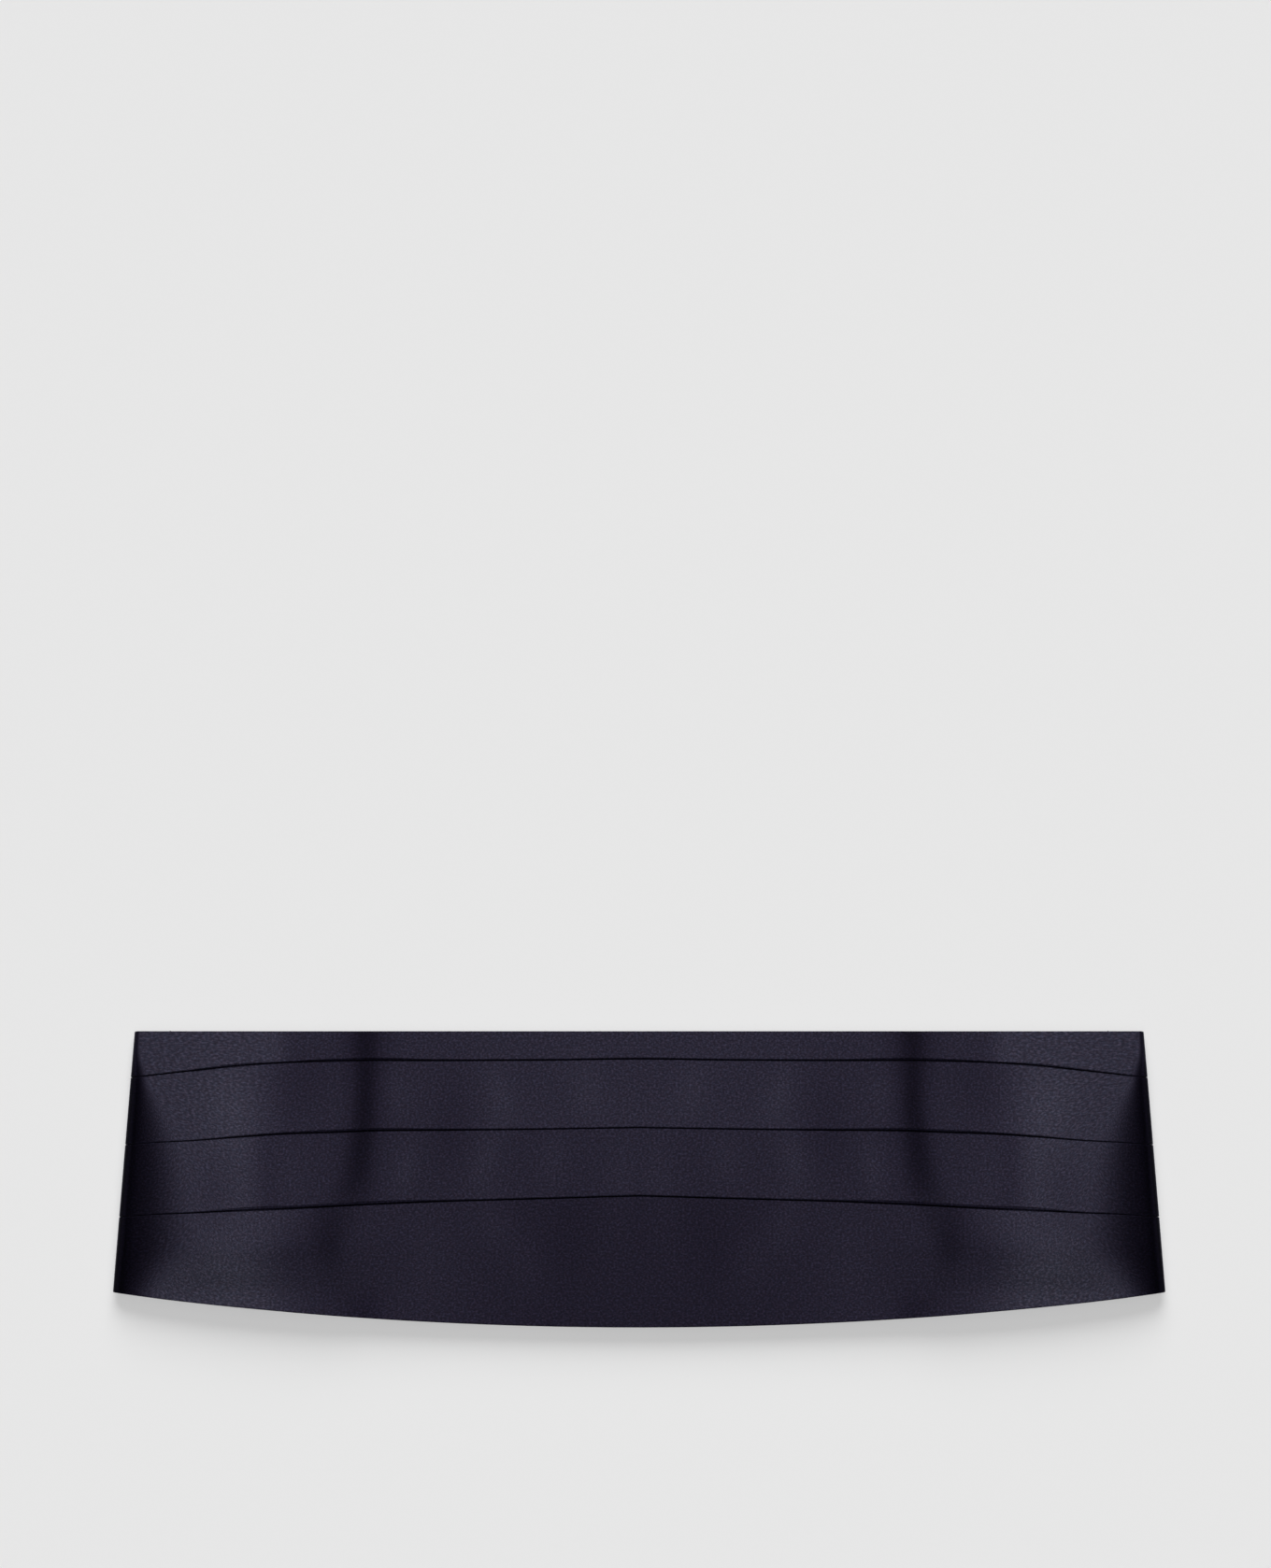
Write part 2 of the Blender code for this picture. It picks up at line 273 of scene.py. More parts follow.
def pleated_section(lines, dips, hem):
    """The cloth from its turned top edge, zigzagged under each pleat line, to its turned hem."""
    edge = SATIN / 2 + LAYER / 2
    points = [(TOP_TURN, RETURN)] + strip(TOP_TURN, 2 * edge, LAP_STEPS, RETURN)
    points += folded_edge(edge, RETURN, FACE, -1)
    start = edge
    steps = TOP_BAND_STEPS
    for dark_line, dip in zip(lines, dips):
        line = dark_line + LINE_TO_FOLD + dip / 4
        points += strip(start, line - dip, steps, FACE)
        for step in range(1, DIP_STEPS + 1):
            part = step / DIP_STEPS
            points.append((line - dip * (1 - part), FACE + (UNDER - FACE) * ease(part)))
        lap_end = line + UNDERLAP - LAYER / 2
        points += strip(line, lap_end, LAP_STEPS, UNDER)[:-1]
        points += folded_edge(lap_end, UNDER, RETURN, 1)
        points += strip(lap_end, line + edge, LAP_STEPS, RETURN)[:-1]
        points += folded_edge(line + edge, RETURN, FACE, -1)
        start = line + edge
        steps = BAND_STEPS
    points += strip(start, hem - edge, LOWEST_BAND_STEPS, FACE)[:-1]
    points += folded_edge(hem - edge, FACE, RETURN, 1)
    points += strip(hem - edge, hem - HEM_TURN, LAP_STEPS, RETURN)
    return points


def end_profile(depth):
    """The outer face over an end, from its highest line to the side seam: (distance, height, slope)."""
    radius, shoulder = (value * MM for value in smooth_row(ENDS, depth / MM))
    reach = end_x(depth)
    flattened = PRESSED_ROLL + (1 - PRESSED_ROLL) * rise(depth, *PRESSED_DEPTHS)
    points = []
    for step in range(UNDERSIDE_STEPS):
        inset = SEAM_INSET + (radius - SEAM_INSET) * step / UNDERSIDE_STEPS
        points.append((reach - inset, 0.0, math.pi))
    for step in range(ROLL_STEPS + 1):
        slope = math.pi + (ROLL_SLOPE - math.pi) * step / ROLL_STEPS
        narrow = flattened if slope < math.pi / 2 else 1.0
        around = math.atan2(narrow * math.sin(slope), math.cos(slope))
        start = radius * narrow * (1 - math.sin(around))
        points.append((reach - start, radius * (1 + math.cos(around)), slope))
    stretches = (
        # inset it starts from, inset it ends at, slope at both, steps
        (start, shoulder, ROLL_SLOPE, END_SLOPE, SHOULDER_STEPS),
        (shoulder, reach - SHOULDER_DISTANCE, END_SLOPE, 0.0, SLOPE_STEPS),
    )
    for near, far, low_slope, high_slope, steps in stretches:
        base = points[-1][1]
        for step in range(1, steps + 1):
            share = step / steps
            slope = low_slope + (high_slope - low_slope) * share
            height = base + (far - near) * share * (low_slope + slope) / 2
            points.append((reach - near - (far - near) * share, height, slope))
    return points[::-1]


def lying_height(distance, depth):
    """Height of the outer face between the two shoulders."""
    across = (depth - CROWN_DEPTH) / (MIDDLE_DEPTH / 2)
    middle = MIDDLE_HEIGHT - (CROWN if across < 0 else HEM_DROP) * across * across
    at, half_width = smooth_row(CREASE, depth / MM)
    crease = CREASE_RISE * rise(distance / MM, at - half_width, at + half_width)
    end_height = end_profile(depth)[0][1]
    risen = rise(distance, RISE_START, SHOULDER_DISTANCE)
    return middle + crease + (end_height - middle - CREASE_RISE) * risen


def soft_crease_rise(distance, depth):
    """How much the soft creases lift the cloth at this place."""
    total = 0.0
    for at, middle, half_width, half_length, lean, lift in SOFT_CREASES:
        down = depth / MM - middle
        off = distance / MM - at - down * math.tan(math.radians(lean))
        if abs(off) < 3 * half_width and abs(down) < 3 * half_length:
            total += lift * MM * math.exp(-((off / half_width) ** 2) - (down / half_length) ** 2)
    return total


def pleat_line(number, distance):
    """Depth of a pleat line below the top edge, at this distance from the middle."""
    return smooth_row(PLEAT_LINES, distance / MM)[number] * MM


def front_rows():
    """Rows of points from the middle of the front to the right side seam: (x, y, z, distance, slope)."""
    flat_steps = round(SHOULDER_DISTANCE / FLAT_STEP)
    rows = []
    for step in range(flat_steps):
        distance = SHOULDER_DISTANCE * step / flat_steps
        rows.append(([distance] * PLEATS, distance, None))
    reached = [SHOULDER_DISTANCE] * PLEATS
    hem_reached = SHOULDER_DISTANCE
    for index, hem_point in enumerate(end_profile(END_DEPTH)):
        profiles = [end_profile(pleat_line(number, distance)) for number, distance in enumerate(reached)]
        reached = [max(distance, profile[index][0]) for distance, profile in zip(reached, profiles)]
        hem_reached = max(hem_reached, hem_point[0])
        rows.append((reached, hem_reached, index))
    made = []
    for distances, hem_distance, index in rows:
        lines = [pleat_line(number, distance) for number, distance in enumerate(distances)]
        dips = [dip * MM for dip in smooth_row(DIPS, hem_distance / MM)]
        row = []
        for depth, layer in pleated_section(lines, dips, hem_depth(hem_distance)):
            if index is None:
                x, height, slope = hem_distance, lying_height(hem_distance, depth), 0.0
            else:
                x, height, slope = end_profile(depth)[index]
            sunk = layer - soft_crease_rise(x, depth) * max(math.cos(slope), 0.0)
            back = UNDER_TUCK * (1 - math.cos(slope)) / 2 * ease(1 - depth / TUCK_DEPTH)
            y = TOP_Y - depth - back
            row.append((x - sunk * math.sin(slope), y, height - sunk * math.cos(slope), x, slope))
        made.append(row)
    return made


def crease_shades(band, down):
    """The creases where painted shade darkens a band, this far below the top edge: (distance, half_width,
    loss).
    """
    if band < PLEATS:
        return [smooth_row(CREASE_SHADE, down)]
    at_crease, at_hem = 1 - rise(down, *LOWEST_SHADE_DEPTHS), rise(down, *HEM_SHADE_DEPTHS)
    return [(*LOWEST_SHADE[:2], LOWEST_SHADE[2] * at_crease), (*HEM_SHADE[:2], HEM_SHADE[2] * at_hem)]


def painted_light(distance, depth, slope):
    """Painted sheen and shade at this place, a factor on the satin's colour: least in the middle, in the
    creases and on the rolls.
    """
    at, down = distance / MM, depth / MM
    band = sum(depth > pleat_line(number, distance) for number in range(PLEATS))
    at_middle, past_crease, lit_from, lit_to = PAINTED_SHEEN_OF_BANDS[band]
    painted_sheen = at_middle + (past_crease - at_middle) * rise(at, *PAINTED_SHEEN_CHANGE)
    lit = PAINTED_HIGHLIGHT + PAINTED_HEM_HIGHLIGHT * rise(down, *PAINTED_HEM_HIGHLIGHT_DEPTHS)
    value = painted_sheen + (lit - painted_sheen) * rise(at, lit_from, lit_to)
    value *= 1 + PAINTED_SHEEN_ON_RISE * soft_crease_rise(distance, depth) / MM
    for place, half_width, loss in crease_shades(band, down):
        value *= 1 - loss * math.exp(-(((at - place) / half_width) ** 2))
    _, shoulder = smooth_row(ENDS, down)
    inset = (end_x(depth) - distance) / MM
    value *= 1 - EDGE_PAINTED_SHADE * (1 - rise(inset, *EDGE_INSETS)) * rise(down, *EDGE_DEPTHS)
    painted_end_shade = END_PAINTED_SHADE + HEM_END_PAINTED_SHADE * rise(down, *HEM_END_DEPTHS)
    value *= 1 - painted_end_shade * (1 - rise(inset / shoulder, *SHOULDER_PARTS))
    return value + (PAINTED_ROLL_SHADE - value) * rise(math.degrees(slope), *ROLL_DEGREES)


def add_object(name, data):
    """A new object in the scene."""
    made = bpy.data.objects.new(name, data)
    bpy.context.scene.collection.objects.link(made)
    return made


def grid_mesh(name, rows, uvs, flipped=False):
    """A mesh of quads between rows of points, with its cloth laid out flat as its UV map, in metres."""
    columns = len(rows[0])
    points = [point for row in rows for point in row]
    flat = [uv for row in uvs for uv in row]
    faces = []
    for row in range(len(rows) - 1):
        for column in range(columns - 1):
            corner = row * columns + column
            face = (corner, corner + 1, corner + columns + 1, corner + columns)
            faces.append(face[::-1] if flipped else face)
    mesh = bpy.data.meshes.new(name)
    mesh.from_pydata(points, [], faces)
    layer = mesh.uv_layers.new(name="cloth")
    for loop in mesh.loops:
        layer.data[loop.index].uv = flat[loop.vertex_index]
    mesh.shade_smooth()
    return add_object(name, mesh)


def set_painted_light(made, values):
    """Gives each point of a cloth its painted light: a factor on its colour for painted sheen and shade."""
    made.data.attributes.new("painted_light", "FLOAT", "POINT").data.foreach_set("value", values)


def laid_flat(rows):
    """Where each point of a grid comes to lie when the cloth is laid out flat, and the size of the whole."""
    lengths_along = [0.0]
    middle = len(rows[0]) // 2
    for before, after in zip(rows, rows[1:]):
        lengths_along.append(lengths_along[-1] + math.dist(before[middle], after[middle]))
    uvs = []
    longest = 0.0
    for along, row in zip(lengths_along, rows):
        across = 0.0
        line = [(along, across)]
        for before, after in zip(row, row[1:]):
            across += math.dist(before, after)
            line.append((along, across))
        longest = max(longest, across)
        uvs.append(line)
    return uvs, lengths_along[-1], longest


def add_wall(made, thickness):
    """Gives a cloth its thickness, half on each side."""
    solidify = made.modifiers.new("Wall", "SOLIDIFY")
    solidify.thickness = thickness
    solidify.offset = 0.0
    solidify.use_even_offset = True


right_rows = front_rows()
left_rows = [[(-x, *rest) for x, *rest in row] for row in right_rows[:0:-1]]
all_rows = left_rows + right_rows
front_points = [[point[:3] for point in row] for row in all_rows]
front_uvs, front_width, front_length = laid_flat(front_points)
front = grid_mesh("pleated_front", front_points, front_uvs, flipped=True)
set_painted_light(front, [painted_light(abs(at), TOP_Y - y, slope) for row in all_rows for x, y, z, at, slope in row])
add_wall(front, SATIN)


def socket(group, way, kind, name, value=None):
    """A named input or output of a shader node group."""
    made = group.interface.new_socket(name, in_out=way, socket_type=kind)
    if value is not None:
        made.default_value = value


def woven_grain_group():
    """Fine grain and thread streaks of a woven cloth, from its flat UV map in metres."""
    group = bpy.data.node_groups.new("Woven grain", "ShaderNodeTree")
    socket(group, "INPUT", "NodeSocketVector", "Cloth")
    socket(group, "INPUT", "NodeSocketFloat", "Grain size", 1.1 * MM)
    socket(group, "INPUT", "NodeSocketFloat", "Thread width", 0.3 * MM)
    socket(group, "INPUT", "NodeSocketFloat", "Float length", 1.2 * MM)
    socket(group, "OUTPUT", "NodeSocketFloat", "Grain")
    socket(group, "OUTPUT", "NodeSocketFloat", "Tint")
    socket(group, "OUTPUT", "NodeSocketFloat", "Height")
    nodes, links = group.nodes, group.links
    start = nodes.new("NodeGroupInput")
    end = nodes.new("NodeGroupOutput")

    def inverse(name):
        made = nodes.new("ShaderNodeMath")
        made.operation = "DIVIDE"
        made.inputs[0].default_value = 1.0
        links.new(start.outputs[name], made.inputs[1])
        return made.outputs[0]

    def noise(vector, scale, detail):
        made = nodes.new("ShaderNodeTexNoise")
        made.noise_dimensions = "3D"
        made.inputs["Scale"].default_value = 1.0
        made.inputs["Detail"].default_value = detail
        made.inputs["Roughness"].default_value = 0.6
        links.new(vector, made.inputs["Vector"])
        if scale is not None:
            links.new(scale, made.inputs["Scale"])
        return made.outputs["Fac"]

    grain = noise(start.outputs["Cloth"], inverse("Grain size"), 1.0)
    ratio = nodes.new("ShaderNodeCombineXYZ")
    links.new(inverse("Float length"), ratio.inputs[0])
    links.new(inverse("Thread width"), ratio.inputs[1])
    stretched = nodes.new("ShaderNodeVectorMath")
    stretched.operation = "MULTIPLY"
    links.new(start.outputs["Cloth"], stretched.inputs[0])
    links.new(ratio.outputs[0], stretched.inputs[1])
    threads = noise(stretched.outputs[0], None, 0.0)
    moved = nodes.new("ShaderNodeVectorMath")
    moved.operation = "ADD"
    moved.inputs[1].default_value = (0.7, 0.3, 0.5)
    links.new(start.outputs["Cloth"], moved.inputs[0])
    tint = noise(moved.outputs[0], inverse("Grain size"), 0.0)
    mixed = nodes.new("ShaderNodeMix")
    mixed.inputs["Factor"].default_value = 0.35
    links.new(grain, mixed.inputs["A"])
    links.new(threads, mixed.inputs["B"])
    links.new(mixed.outputs["Result"], end.inputs["Grain"])
    links.new(tint, end.inputs["Tint"])
    links.new(threads, end.inputs["Height"])
    return group


woven_grain = woven_grain_group()


def principled(name, roughness, metallic):
    """A material with these values, and its shader."""
    made = bpy.data.materials.new(name)
    made.use_nodes = True
    shader = made.node_tree.nodes["Principled BSDF"]
    shader.inputs["Roughness"].default_value = roughness
    shader.inputs["Metallic"].default_value = metallic
    return made, shader


def ramp(tree, factor, stops):
    """A colour ramp from a factor, with these (place, colour) stops."""
    made = tree.nodes.new("ShaderNodeValToRGB")
    elements = made.color_ramp.elements
    while len(elements) < len(stops):
        elements.new(0.5)
    for element, (place, colour) in zip(elements, stops):
        element.position = place
        element.color = (*colour, 1.0)
    tree.links.new(factor, made.inputs["Fac"])
    return made.outputs["Color"]


def woven(tree, sizes):
    """The woven grain on a cloth laid out flat, with this cloth's own sizes."""
    cloth = tree.nodes.new("ShaderNodeUVMap")
    cloth.uv_map = "cloth"
    weave = tree.nodes.new("ShaderNodeGroup")
    weave.node_tree = woven_grain
    for name, size in sizes.items():
        weave.inputs[name].default_value = size
    tree.links.new(cloth.outputs["UV"], weave.inputs["Cloth"])
    return weave.outputs


def add_relief(tree, shader, height, strength, distance):
    """Lets a height that changes over the surface stand out as fine relief."""
    bump = tree.nodes.new("ShaderNodeBump")
    bump.inputs["Strength"].default_value = strength
    bump.inputs["Distance"].default_value = distance
    tree.links.new(height, bump.inputs["Height"])
    tree.links.new(bump.outputs["Normal"], shader.inputs["Normal"])


SATIN_LOW = (0.046, 0.042, 0.068)
SATIN_MIDDLE = (0.070, 0.0645, 0.103)
SATIN_HIGH = (0.131, 0.121, 0.192)
WARM_THREAD = (1.045, 0.985, 0.98)
COOL_THREAD = (0.96, 1.01, 1.03)


def satin_material():
    made, shader = principled("Navy satin cloth", 0.32, 0.85)
    shader.inputs["Sheen Weight"].default_value = 0.25
    shader.inputs["Sheen Roughness"].default_value = 0.35
    shader.inputs["Sheen Tint"].default_value = (0.70, 0.68, 1.0, 1.0)
    tree = made.node_tree
    nodes, links = tree.nodes, tree.links
    weave = woven(tree, {"Grain size": 0.95 * MM})
    tinted = nodes.new("ShaderNodeMix")
    tinted.data_type = "RGBA"
    tinted.blend_type = "MULTIPLY"
    tinted.inputs["Factor"].default_value = 1.0
    grain = ramp(tree, weave["Grain"], ((0.36, SATIN_LOW), (0.51, SATIN_MIDDLE), (0.66, SATIN_HIGH)))
    tints = ramp(tree, weave["Tint"], ((0.35, WARM_THREAD), (0.65, COOL_THREAD)))
    links.new(grain, tinted.inputs["A"])
    links.new(tints, tinted.inputs["B"])
    # Painted sheen and shade of each point scale the colour
    painted_light_node = nodes.new("ShaderNodeAttribute")
    painted_light_node.attribute_name = "painted_light"
    # Strong painted sheen is bluer, weak painted sheen and painted shade redder
    strength = nodes.new("ShaderNodeCombineColor")
    for channel, power in (("Red", 1.0), ("Green", 1.12), ("Blue", 0.87)):
        bent = nodes.new("ShaderNodeMath")
        bent.operation = "POWER"
        bent.inputs[1].default_value = power
        links.new(painted_light_node.outputs["Fac"], bent.inputs[0])
        links.new(bent.outputs["Value"], strength.inputs[channel])
    toned = nodes.new("ShaderNodeVectorMath")
    toned.operation = "MULTIPLY"
    links.new(tinted.outputs["Result"], toned.inputs[0])
    links.new(strength.outputs["Color"], toned.inputs[1])
    links.new(toned.outputs["Vector"], shader.inputs["Base Color"])
    add_relief(tree, shader, weave["Height"], 0.12, 0.1 * MM)
    return made


satin_cloth = satin_material()
front.data.materials.append(satin_cloth)
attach(front, "root")
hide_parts("front_panel")

# Back bands: each is one cut of the same satin, doubled over along its upper
# edge and sewn along its lower one. It tapers from the side seam to its mouth,
# where the strap is caught between the two cloths.

BACK_TOP = 1.4 * MM  # of the doubled cloth
MOUTH_TOP = 1.8 * MM  # where the strap is inside it
MOUTH_LENGTH = 14.0 * MM
BACK_TAPER = 1.6
SEAM_LAP = 0.05 * MM  # the edges of both cloths press into each other in the side seam
BACK_END = 60.0 * MM
BACK_END_DEPTH = 36.0 * MM
BACK_END_Y = -3.5 * MM
BACK_STEPS = 64
BACK_STRIPS = 26
# one even level of painted sheen on the back bands, a factor on the satin's colour
BACK_PAINTED_SHEEN = 0.7
SIDES = ((-1, "left"), (1, "right"))
BACK_CREASES = (
    # along, across, half_width, half_length, lean, lift in mm
    (0.12, 0.45, 0.030, 0.50, 0.02, 0.20),
    (0.22, 0.70, 0.035, 0.40, -0.03, 0.24),
    (0.36, 0.30, 0.040, 0.45, 0.04, 0.22),
    (0.47, 0.75, 0.030, 0.35, -0.05, 0.18),
    (0.61, 0.45, 0.045, 0.55, 0.03, 0.26),
    (0.78, 0.25, 0.035, 0.35, -0.04, 0.16),
    (0.84, 0.80, 0.040, 0.40, 0.02, 0.20),
)


def back_edge(along, across):
    """x and y on a back band: along runs from the strap to the seam, across from the upper edge down."""
    seam_depth = across * END_DEPTH
    seam_x = end_x(seam_depth) - SEAM_INSET + SEAM_LAP
    strap_y = BACK_END_Y + BACK_END_DEPTH * (0.5 - across)
    x = BACK_END + (seam_x - BACK_END) * along
    return x, strap_y + (TOP_Y - seam_depth - strap_y) * along**BACK_TAPER


def back_rise(along, across):
    """How much soft creases lift the upper cloth of a back band."""
    total = 0.0
    for at, middle, half_width, half_length, lean, lift in BACK_CREASES:
        off = along - at - (across - middle) * lean
        total += lift * MM * math.exp(-((off / half_width) ** 2) - ((across - middle) / half_length) ** 2)
    return total * math.sin(math.pi * across) * math.sin(math.pi * along)


def back_section(top, height):
    """The doubled cloth from its seam along the lower edge, under and over, and back: (across, z, crease)."""
    radius = (top - SATIN) / 2
    middle = top / 2
    turn = radius / height
    flat = [turn + (1 - 2 * turn) * step / BACK_STRIPS for step in range(BACK_STRIPS + 1)]
    angles = [math.pi / 2 * step / TURN_STEPS for step in range(2 * TURN_STEPS)]
    section = []
    for angle in angles[:TURN_STEPS]:
        section.append((1 - turn * (1 - math.cos(angle)), middle - radius * math.sin(angle), 0.0))
    section += [(across, SATIN / 2, 0.0) for across in reversed(flat)]
    for angle in angles[1:]:
        section.append((turn * (1 - math.sin(angle)), middle - radius * math.cos(angle), 0.0))
    section += [(across, top - SATIN / 2, 1.0) for across in flat]
    for angle in angles[1 : TURN_STEPS + 1]:
        section.append((1 - turn * (1 - math.sin(angle)), middle + radius * math.cos(angle), 0.0))
    return section


def back_band_rows(side):
    rows = []
    for step in range(BACK_STEPS + 1):
        along = step / BACK_STEPS
        from_mouth = along * (end_x(0) - SEAM_INSET - BACK_END)
        top = MOUTH_TOP + (BACK_TOP - MOUTH_TOP) * ease(from_mouth / MOUTH_LENGTH)
        height = back_edge(along, 0)[1] - back_edge(along, 1)[1]
        row = []
        for across, z, crease in back_section(top, height):
            x, y = back_edge(along, across)
            row.append((side * x, y, z + crease * back_rise(along, across)))
        rows.append(row)
    return rows


for side, hand in SIDES:
    rows = back_band_rows(side)
    uvs, width, length = laid_flat(rows)
    back = grid_mesh(f"back_cloth_{hand}", rows, uvs, flipped=side > 0)
    set_painted_light(back, [BACK_PAINTED_SHEEN] * len(back.data.vertices))
    add_wall(back, SATIN)
    back.data.materials.append(satin_cloth)
    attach(back, "root")
    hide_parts(f"back_band_{hand}")

# Elastic straps: ribbed webbing, caught in the mouth of each back band, passed
# round a bar of the clasp and sewn down on itself.

WEBBING = 0.9 * MM  # thickness
WEBBING_WIDTH = 30.0 * MM
RIB_PITCH = 2.0 * MM
RIB_DEPTH = 0.07 * MM
RIB_COLUMNS = 4  # across each rib
TAIL = 8.0 * MM  # inside the band
FREE_END = 36.0 * MM  # where it is sewn down on itself
BAR_NEAR = 13.0 * MM  # inner edge of the bar in its loop
BAR_LOW = 1.7 * MM
BAR_HIGH = 3.3 * MM
LOOP_ROOM = 0.25 * MM
WEBBING_STEP = 1.0 * MM
LOOP_STEPS = 14
SINKS = (-5.5 * MM, 1.5 * MM)  # from the mouth: between these it goes down from the band to the floor
RETURNS = (2 * MM, 11 * MM)  # past the loop: between these its end comes down on itself
WEBBING_DARK = (0.006, 0.006, 0.013)
WEBBING_LIGHT = (0.019, 0.018, 0.036)


def webbing_path():
    """Middle line of a strap in X and Z, from inside the band, round its bar and back on itself."""
    low = WEBBING / 2 + RIB_DEPTH
    high = BAR_HIGH + LOOP_ROOM + WEBBING / 2
    radius = (high - low) / 2
    centre = BAR_NEAR - LOOP_ROOM - WEBBING / 2 + radius
    inside = MOUTH_TOP / 2
    rest = low + WEBBING + 3 * RIB_DEPTH
    start = BACK_END + TAIL
    path = []
    steps = round((start - centre) / WEBBING_STEP)
    for step in range(steps):
        x = start + (centre - start) * step / steps
        path.append((x, low + (inside - low) * rise(x - BACK_END, *SINKS)))
    for step in range(LOOP_STEPS + 1):
        angle = math.pi * step / LOOP_STEPS
        path.append((centre - radius * math.sin(angle), (low + high) / 2 - radius * math.cos(angle)))
    steps = round((FREE_END - centre) / WEBBING_STEP)
    for step in range(1, steps + 1):
        x = centre + (FREE_END - centre) * step / steps
        path.append((x, high + (rest - high) * rise(x - centre, *RETURNS)))
    return path


def webbing_rows(side):
    path = webbing_path()
    ribs = round(WEBBING_WIDTH / RIB_PITCH)
    columns = ribs * RIB_COLUMNS
    rows = []
    for index, (x, z) in enumerate(path):
        before, after = path[max(index - 1, 0)], path[min(index + 1, len(path) - 1)]
        run = math.dist(before, after)
        across_x, across_z = -(after[1] - before[1]) / run, (after[0] - before[0]) / run
        row = []
        for column in range(columns + 1):
            rib = RIB_DEPTH * math.cos(2 * math.pi * column / RIB_COLUMNS)
            y = BACK_END_Y + WEBBING_WIDTH * (0.5 - column / columns)
            row.append((side * (x + rib * across_x), y, z + rib * across_z))
        rows.append(row)
    return rows


def webbing_material():
    made, shader = principled("Navy elastic webbing weave", 0.8, 0.0)
    shader.inputs["Specular IOR Level"].default_value = 0.25
    tree = made.node_tree
    weave = woven(tree, {"Grain size": 1.6 * MM, "Thread width": 0.5 * MM, "Float length": 0.8 * MM})
    colour = ramp(tree, weave["Grain"], ((0.30, WEBBING_DARK), (0.70, WEBBING_LIGHT)))
    tree.links.new(colour, shader.inputs["Base Color"])
    add_relief(tree, shader, weave["Height"], 0.6, 0.15 * MM)
    return made


webbing = webbing_material()
for side, hand in SIDES:
    rows = webbing_rows(side)
    uvs, length, width = laid_flat(rows)
    strap = grid_mesh(f"elastic_strap_{hand}", rows, uvs, flipped=side < 0)
    add_wall(strap, WEBBING)
    strap.data.materials.append(webbing)
    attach(strap, "root")
    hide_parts(f"strap_{hand}")

# Clasp: two flat metal frames, cast with rounded edges, one bar of each in a
# strap's loop. The hook's bent tongue holds the eye's inner bar.

FRAME_BAR = 2.5 * MM  # width of each bar
FRAME_THICK = BAR_HIGH - BAR_LOW
FRAME_MIDDLE = (BAR_LOW + BAR_HIGH) / 2
FRAME_REACH = BAR_NEAR + FRAME_BAR  # from the middle of the back
FRAME_GAP = 2.5 * MM  # between the two inner bars
FRAME_HALF = 18.2 * MM
FRAME_CORNER = 2.0 * MM
EDGE_ROUND = 0.5 * MM
SECTION_STEPS = 3
CORNER_STEPS = 6
TONGUE_THICK = 1.2 * MM
TONGUE_HALF = 7.0 * MM
TONGUE_TIP_HALF = 5.8 * MM
TONGUE_ROUND = 0.4 * MM
TONGUE_ROOM = 0.9 * MM  # from the eye's bar to the middle of the tongue
TONGUE_REACH = 3.4 * MM  # of the bend's middle line
TONGUE_BEND = 1.1 * MM  # length of the bend
TONGUE_TIP = 0.6 * MM  # where it ends again under the eye's bar
BEND_STEPS = 8
TONGUE_FOOT = (
    # x, height above the frame's middle
    (-3.8 * MM, 0.0),
    (-2.9 * MM, 0.1 * MM),
    (-2.0 * MM, 0.9 * MM),
    (-1.1 * MM, 1.55 * MM),
    (-0.2 * MM, 1.7 * MM),
)
METAL_DARK = (0.070, 0.070, 0.078)
METAL_LIGHT = (0.150, 0.150, 0.160)
METAL_ROUGHNESS = (0.26, 0.46)


def rounded_section(half_width, half_height, round_by):
    """Points round a bar's section, from its lower right corner."""
    points = []
    for quarter, (side, up) in enumerate(((1, -1), (1, 1), (-1, 1), (-1, -1))):
        for step in range(SECTION_STEPS + 1):
            angle = math.pi / 2 * (quarter - 1 + step / SECTION_STEPS)
            across = side * (half_width - round_by) + round_by * math.cos(angle)
            points.append((across, up * (half_height - round_by) + round_by * math.sin(angle)))
    return points


def ring_points(near, far, half, corner):
    """The middle line of a frame as (x, y, outward x, outward y)."""
    right, left, low, high = far - corner, near + corner, corner - half, half - corner
    points = []
    for quarter, (corner_x, corner_y) in enumerate(((right, low), (right, high), (left, high), (left, low))):
        for step in range(CORNER_STEPS + 1):
            angle = math.pi / 2 * (quarter - 1 + step / CORNER_STEPS)
            out_x, out_y = math.cos(angle), math.sin(angle)
            points.append((corner_x + corner * out_x, corner_y + corner * out_y, out_x, out_y))
    return points


def swept(rings, closed):
    """Points and quads of a bar through rings of points; an open one is capped."""
    count = len(rings[0])
    points = [point for ring in rings for point in ring]
    faces = []
    for index in range(len(rings) if closed else len(rings) - 1):
        near, far = index * count, (index + 1) % len(rings) * count
        for at in range(count):
            after = (at + 1) % count
            faces.append((near + at, far + at, far + after, near + after))
    if not closed:
        last = (len(rings) - 1) * count
        faces.append(tuple(range(count)))
        faces.append(tuple(last + at for at in reversed(range(count))))
    return points, faces


def frame_rings(near, far):
    """The flat frame of one half of the clasp, between these distances from the middle of the back."""
    inset = FRAME_BAR / 2
    section = rounded_section(inset, FRAME_THICK / 2, EDGE_ROUND)
    rings = []
    for x, y, out_x, out_y in ring_points(near + inset, far - inset, FRAME_HALF - inset, FRAME_CORNER):
        ring = []
        for across, up in section:
            ring.append((x + out_x * across, BACK_END_Y + y + out_y * across, FRAME_MIDDLE + up))
        rings.append(ring)
    return rings


